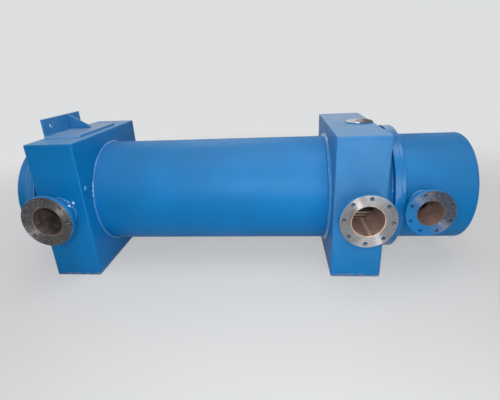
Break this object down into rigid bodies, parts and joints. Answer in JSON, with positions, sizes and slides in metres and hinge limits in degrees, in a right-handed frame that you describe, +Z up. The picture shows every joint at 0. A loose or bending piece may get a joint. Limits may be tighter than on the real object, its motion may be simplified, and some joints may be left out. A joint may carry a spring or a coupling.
{
  "type": "water-cooled heat exchanger",
  "caption": "Horizontal shell-and-tube cooler: round shell between two square headers that are its feet, flanged gas nozzles in front and a water channel at one end.",
  "frame": {"origin": "on the floor under the middle of the left header, which is the fixed foot", "axes": "+X along the shell towards the water channel, +Y to the rear, +Z up"},
  "size_m": [2.611, 0.9915, 0.901],
  "materials": {
    "blue_paint": "gloss enamel",
    "bare_steel": "turned, light rust",
    "tube_metal": "drawn tube, dull"
  },
  "bodies": {
    "root": {"bracket_gusset": "blue_paint", "bracket_pad": "blue_paint", "bracket_upright": "blue_paint", "cap_barrel": "blue_paint", "cap_end_plate": "blue_paint", "cap_neck": "blue_paint", "cap_ring": "blue_paint", "cap_tube_sheet": "blue_paint", "channel_barrel": "blue_paint", "channel_end_plate": "blue_paint", "channel_neck": "blue_paint", "channel_partition": "blue_paint", "channel_ring": "blue_paint", "channel_tube_sheet": "blue_paint", "left_header_bottom_plate": "blue_paint", "left_header_front_plate": "blue_paint", "left_header_inner_side_plate": "blue_paint", "left_header_outer_side_plate": "blue_paint", "left_header_rear_plate": "blue_paint", "left_header_top_plate": "blue_paint", "left_nozzle_flange": "bare_steel", "left_nozzle_pipe": "blue_paint", "right_header_bottom_plate": "blue_paint", "right_header_front_plate": "blue_paint", "right_header_inner_side_plate": "blue_paint", "right_header_outer_side_plate": "blue_paint", "right_header_rear_plate": "blue_paint", "right_header_top_plate": "blue_paint", "right_nozzle_flange": "bare_steel", "right_nozzle_pipe": "blue_paint", "shell": "blue_paint", "tubes": "tube_metal", "vent_flange": "bare_steel", "water_inlet_flange": "bare_steel", "water_inlet_pipe": "blue_paint", "water_outlet_flange": "bare_steel", "water_outlet_pipe": "blue_paint"}
  },
  "joints": []
}
